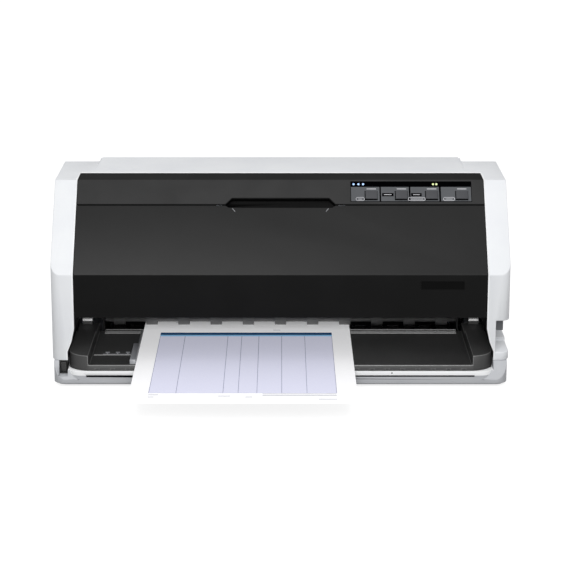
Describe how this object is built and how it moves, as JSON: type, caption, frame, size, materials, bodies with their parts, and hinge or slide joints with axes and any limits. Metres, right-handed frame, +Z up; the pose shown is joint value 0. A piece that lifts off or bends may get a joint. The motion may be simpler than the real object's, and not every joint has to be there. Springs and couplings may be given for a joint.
{
  "type": "dot matrix printer",
  "caption": "Flatbed impact printer with a white wide case, a smoked hinged front cover, a slanted key panel, an open sheet guide in front and a form lying in it.",
  "frame": {"origin": "centre of the bounding box on the table plane, the form included", "axes": "+Z up, +Y to the rear of the case, +X to the right seen from the front"},
  "size_m": [0.48, 0.496, 0.21],
  "materials": {
    "case_white": "fine spark texture",
    "case_grey": "fine spark texture",
    "strip_black": "satin",
    "smoked_cover": "polished smoked",
    "badge_black": "gloss",
    "overlay_grey": "printed film",
    "key_grey": "satin",
    "lens": "clear",
    "guide_black": "spark texture",
    "guide_grey": "satin",
    "block_grey": "satin",
    "lever_grey": "satin",
    "switch_black": "gloss",
    "foot_rubber": "matte",
    "frame_steel": "zinc plated",
    "shaft_steel": "ground",
    "screw_steel": "zinc plated",
    "roller_rubber": "ground",
    "gear_acetal": "moulded",
    "gear_brass": "hobbed",
    "motor_can": "satin",
    "belt_rubber": "matte",
    "carriage_black": "moulded",
    "bush_bronze": "sintered",
    "head_metal": "cast",
    "cartridge_black": "moulded",
    "knob_grey": "moulded",
    "ribbon_ink": "inked nylon",
    "board_green": "solder mask",
    "paper_white": "uncoated"
  },
  "bodies": {
    "root": {"base_case": "case_grey", "top_case": "case_white", "rear_panel": "case_white", "control_strip": "strip_black", "finger_tray": "strip_black", "control_overlay": "overlay_grey", "indicator_lenses": "lens", "button_board": "board_green", "sheet_guide": "guide_black", "stop_blocks": "block_grey", "power_switch": "switch_black", "rubber_feet": "foot_rubber", "chassis_plate": "frame_steel", "chassis_screws": "screw_steel", "side_frame_left": "frame_steel", "side_frame_right": "frame_steel", "rear_frame": "frame_steel", "feed_motor": "motor_can", "carriage_shaft": "shaft_steel", "front_rail": "frame_steel", "carriage_motor": "motor_can", "drive_belt": "belt_rubber", "ribbon_cartridge": "cartridge_black", "ribbon_tape": "ribbon_ink", "main_board": "board_green", "power_supply": "board_green", "ac_inlet": "switch_black", "parallel_port": "frame_steel", "usb_port": "frame_steel"},
    "key_1_body": {"key_1": "key_grey"},
    "key_2_body": {"key_2": "key_grey"},
    "key_3_body": {"key_3": "key_grey"},
    "key_4_body": {"key_4": "key_grey"},
    "front_cover_body": {"front_cover": "smoked_cover", "cover_badge": "badge_black"},
    "rear_cover_body": {"rear_cover": "case_white"},
    "edge_guide_body": {"edge_guide": "guide_grey"},
    "rocker_body": {"power_rocker": "switch_black"},
    "lever_body": {"release_lever": "lever_grey"},
    "front_feed": {"feed_shaft": "shaft_steel", "feed_rollers": "roller_rubber", "feed_gear": "gear_acetal"},
    "front_pinch": {"front_pinch_rollers": "roller_rubber"},
    "platen": {"platen_roller": "roller_rubber", "platen_gear": "gear_acetal"},
    "rear_feed": {"rear_shaft": "shaft_steel", "rear_rollers": "roller_rubber", "rear_gear": "gear_acetal"},
    "rear_pinch": {"rear_pinch_rollers": "roller_rubber"},
    "front_idler": {"idler_gear_front": "gear_acetal"},
    "rear_idler": {"idler_gear_rear": "gear_acetal"},
    "pinion": {"motor_pinion": "gear_brass"},
    "carriage_body": {"carriage": "carriage_black", "carriage_bushes": "bush_bronze", "print_head": "head_metal"},
    "drive_pulley_body": {"drive_pulley": "gear_brass"},
    "idler_pulley_body": {"idler_pulley": "gear_acetal"},
    "ribbon_drive": {"ribbon_knob": "knob_grey"},
    "paper": {"paper_sheet": "paper_white"}
  },
  "joints": [
    {"name": "front_cover_hinge", "type": "hinge", "parent": "root", "child": "front_cover_body", "pos_m": [0, -0.098, 0.08], "axis": [1, 0, 0], "range_deg": [0, 90]},
    {"name": "rear_cover_hinge", "type": "hinge", "parent": "root", "child": "rear_cover_body", "pos_m": [0, 0.0686, 0.2055], "axis": [1, 0, 0], "range_deg": [0, 90]},
    {"name": "edge_guide_slide", "type": "slide", "parent": "root", "child": "edge_guide_body", "axis": [1, 0, 0], "range_m": [-0.04, 0]},
    {"name": "power_rocker_tilt", "type": "hinge", "parent": "root", "child": "rocker_body", "pos_m": [-0.2278, -0.109, 0.0194], "axis": [1, 0, 0], "range_deg": [-8, 8]},
    {"name": "release_lever_pivot", "type": "hinge", "parent": "root", "child": "lever_body", "pos_m": [0.2313, -0.002, 0.0665], "axis": [1, 0, 0], "range_deg": [0, 8]},
    {"name": "platen_spin", "type": "hinge", "parent": "root", "child": "platen", "pos_m": [0, 0.089, 0.016], "axis": [1, 0, 0], "continuous": true},
    {"name": "front_feed_spin", "type": "hinge", "parent": "root", "child": "front_feed", "pos_m": [0, 0.035, 0.016], "axis": [1, 0, 0], "continuous": true},
    {"name": "rear_feed_spin", "type": "hinge", "parent": "root", "child": "rear_feed", "pos_m": [0, 0.143, 0.016], "axis": [1, 0, 0], "continuous": true},
    {"name": "front_pinch_spin", "type": "hinge", "parent": "root", "child": "front_pinch", "pos_m": [0, 0.035, 0.03085], "axis": [1, 0, 0], "continuous": true},
    {"name": "rear_pinch_spin", "type": "hinge", "parent": "root", "child": "rear_pinch", "pos_m": [0, 0.143, 0.03085], "axis": [1, 0, 0], "continuous": true},
    {"name": "front_idler_spin", "type": "hinge", "parent": "root", "child": "front_idler", "pos_m": [0, 0.062, 0.03318], "axis": [1, 0, 0], "continuous": true},
    {"name": "rear_idler_spin", "type": "hinge", "parent": "root", "child": "rear_idler", "pos_m": [0, 0.116, 0.03318], "axis": [1, 0, 0], "continuous": true},
    {"name": "motor_pinion_spin", "type": "hinge", "parent": "root", "child": "pinion", "pos_m": [0, 0.116, 0.06418], "axis": [1, 0, 0], "continuous": true},
    {"name": "carriage_travel", "type": "slide", "parent": "root", "child": "carriage_body", "axis": [1, 0, 0], "range_m": [0, 0.28]},
    {"name": "drive_pulley_spin", "type": "hinge", "parent": "root", "child": "drive_pulley_body", "pos_m": [-0.168, 0.167, 0.068], "axis": [0, 0, 1], "continuous": true},
    {"name": "idler_pulley_spin", "type": "hinge", "parent": "root", "child": "idler_pulley_body", "pos_m": [0.168, 0.167, 0.068], "axis": [0, 0, 1], "continuous": true},
    {"name": "ribbon_knob_spin", "type": "hinge", "parent": "root", "child": "ribbon_drive", "pos_m": [0.15, 0.023, 0.12], "axis": [0, 0, 1], "continuous": true},
    {"name": "paper_feed", "type": "slide", "parent": "root", "child": "paper", "axis": [0, 1, 0], "range_m": [-0.1, 0.1]},
    {"name": "key_1_press", "type": "slide", "parent": "root", "child": "key_1_body", "axis": [0, 0.7624, -0.6471], "range_m": [0, 0.0015], "stiffness_N_per_m": 300, "springref_m": -0.001},
    {"name": "key_2_press", "type": "slide", "parent": "root", "child": "key_2_body", "axis": [0, 0.7624, -0.6471], "range_m": [0, 0.0015], "stiffness_N_per_m": 300, "springref_m": -0.001},
    {"name": "key_3_press", "type": "slide", "parent": "root", "child": "key_3_body", "axis": [0, 0.7624, -0.6471], "range_m": [0, 0.0015], "stiffness_N_per_m": 300, "springref_m": -0.001},
    {"name": "key_4_press", "type": "slide", "parent": "root", "child": "key_4_body", "axis": [0, 0.7624, -0.6471], "range_m": [0, 0.0015], "stiffness_N_per_m": 300, "springref_m": -0.001}
  ],
  "couplings": [
    {"joint": "front_feed_spin", "follows": "platen_spin", "ratio": 1},
    {"joint": "rear_feed_spin", "follows": "platen_spin", "ratio": 1},
    {"joint": "front_pinch_spin", "follows": "platen_spin", "ratio": -1.3333},
    {"joint": "rear_pinch_spin", "follows": "platen_spin", "ratio": -1.3333},
    {"joint": "front_idler_spin", "follows": "platen_spin", "ratio": -0.33333},
    {"joint": "rear_idler_spin", "follows": "platen_spin", "ratio": -0.33333},
    {"joint": "motor_pinion_spin", "follows": "platen_spin", "ratio": 1.1429},
    {"joint": "drive_pulley_spin", "follows": "carriage_travel", "rad_per_m": 125},
    {"joint": "idler_pulley_spin", "follows": "carriage_travel", "rad_per_m": 125}
  ]
}
